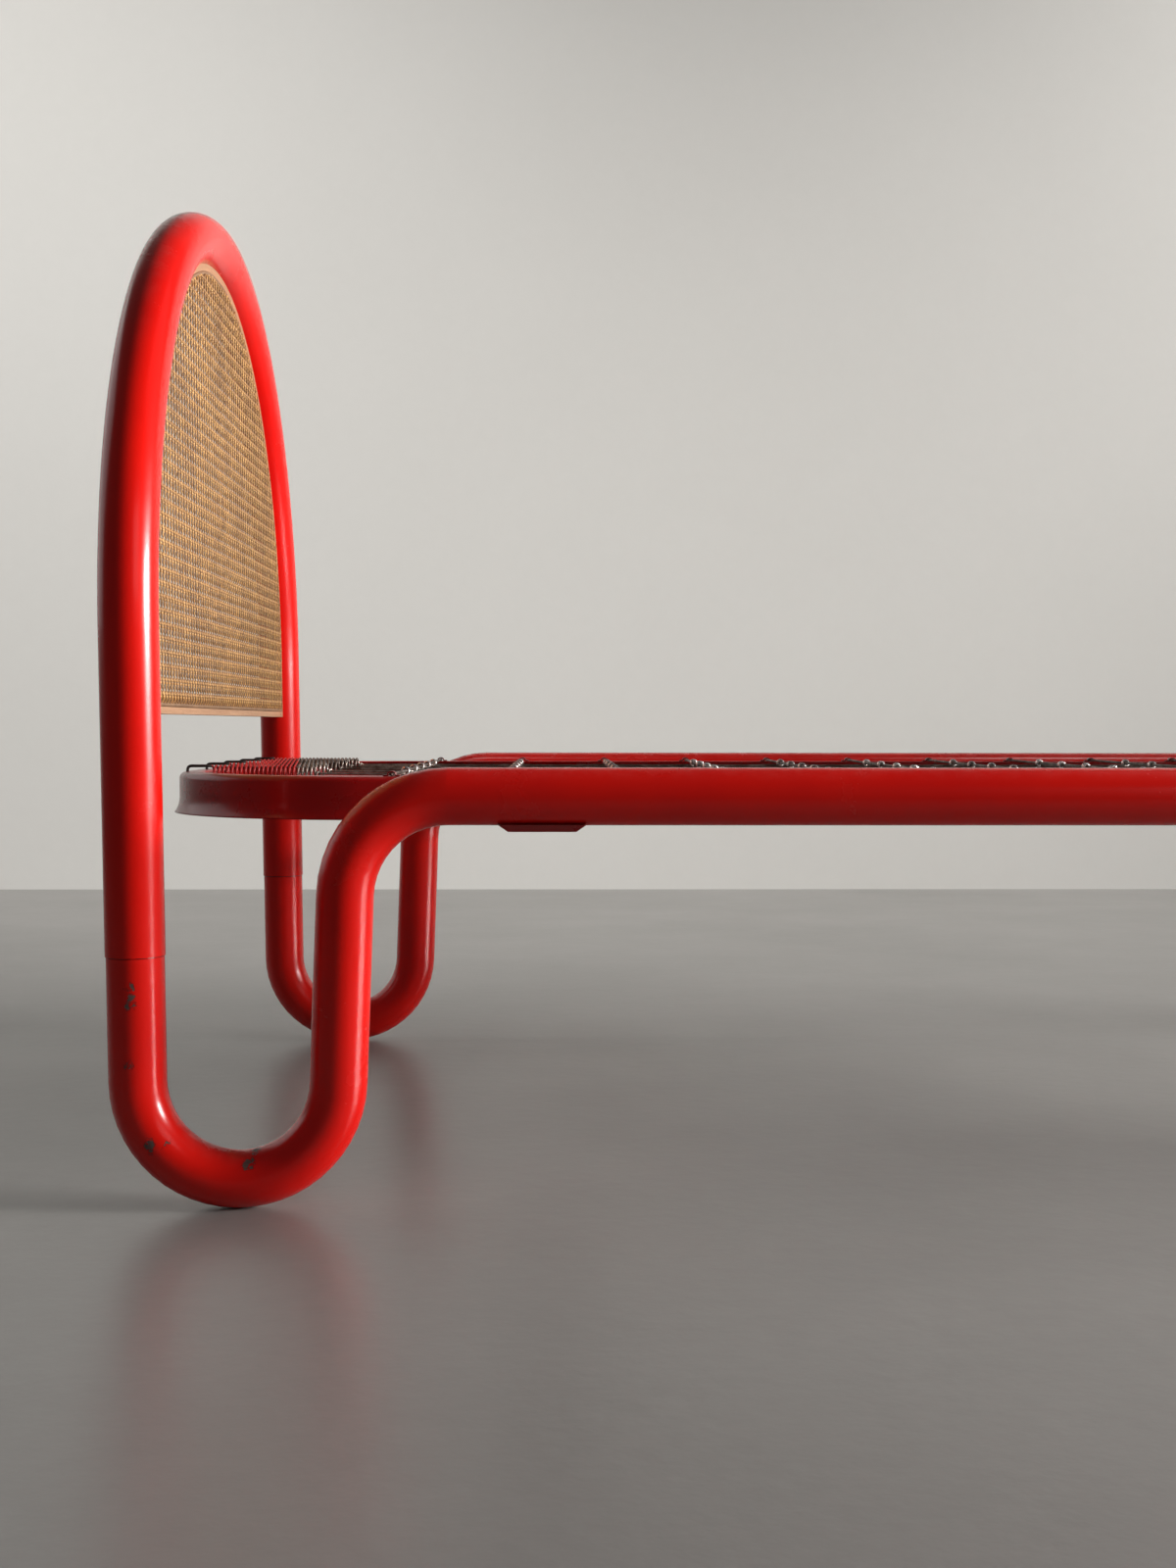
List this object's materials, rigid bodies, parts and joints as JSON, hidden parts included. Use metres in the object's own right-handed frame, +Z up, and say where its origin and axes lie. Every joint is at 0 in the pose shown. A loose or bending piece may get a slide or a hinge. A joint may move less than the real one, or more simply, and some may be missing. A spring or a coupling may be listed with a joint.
{
  "type": "single bed frame with arched cane ends",
  "caption": "Enamelled tubular steel single bed frame with round-headed cane panels at both ends and a sprung wire base that carries a mattress.",
  "frame": {"origin": "on the floor, under the middle of the whole frame", "axes": "+X towards the foot end, +Y to the sleeper's left, +Z up"},
  "size_m": [1.9752, 0.9114, 0.9554],
  "materials": {
    "tube_enamel": "gloss red enamel with small chips and scuffs",
    "pressed_enamel": "gloss red enamel on pressed sheet steel, duller and a little worn",
    "plain_steel": "plain drawn steel tube",
    "panel_wood": "bare satin hardwood, fine straight grain",
    "cane": "natural glossy cane strand, woven six ways",
    "spline_reed": "dark glued reed spline",
    "fastener_steel": "darkened steel",
    "net_wire": "dull drawn wire with bright eyes",
    "spring_steel": "drawn spring wire, red paint on the outer turns"
  },
  "bodies": {
    "frame": {"base_rim": "pressed_enamel", "cross_wires": "net_wire", "foot_cross_member": "pressed_enamel", "foot_left_spigot": "plain_steel", "foot_right_spigot": "plain_steel", "foot_spring_1": "spring_steel", "foot_spring_2": "spring_steel", "foot_spring_3": "spring_steel", "foot_spring_4": "spring_steel", "foot_spring_5": "spring_steel", "head_cross_member": "pressed_enamel", "head_left_spigot": "plain_steel", "head_right_spigot": "plain_steel", "head_spring_1": "spring_steel", "head_spring_2": "spring_steel", "head_spring_3": "spring_steel", "head_spring_4": "spring_steel", "head_spring_5": "spring_steel", "left_hook_tabs": "pressed_enamel", "left_side_tube": "tube_enamel", "net_line_1": "net_wire", "net_line_2": "net_wire", "net_line_3": "net_wire", "net_line_4": "net_wire", "net_line_5": "net_wire", "right_hook_tabs": "pressed_enamel", "right_side_tube": "tube_enamel"},
    "head_arch": {"head_arch_tube": "tube_enamel", "head_panel_lath": "panel_wood", "head_panel_bottom_rail": "panel_wood", "head_cane_sheet": "cane", "head_cane_spline": "spline_reed", "head_panel_screws": "fastener_steel", "head_panel_nails": "fastener_steel"},
    "foot_arch": {"foot_arch_tube": "tube_enamel", "foot_panel_lath": "panel_wood", "foot_panel_bottom_rail": "panel_wood", "foot_cane_sheet": "cane", "foot_cane_spline": "spline_reed", "foot_panel_screws": "fastener_steel", "foot_panel_nails": "fastener_steel"}
  },
  "joints": [
    {"name": "head_arch_lift", "type": "slide", "parent": "frame", "child": "head_arch", "axis": [-0.0141, 0, 0.9999], "range_m": [0, 0.1]},
    {"name": "foot_arch_lift", "type": "slide", "parent": "frame", "child": "foot_arch", "axis": [0.0141, 0, 0.9999], "range_m": [0, 0.1]}
  ]
}
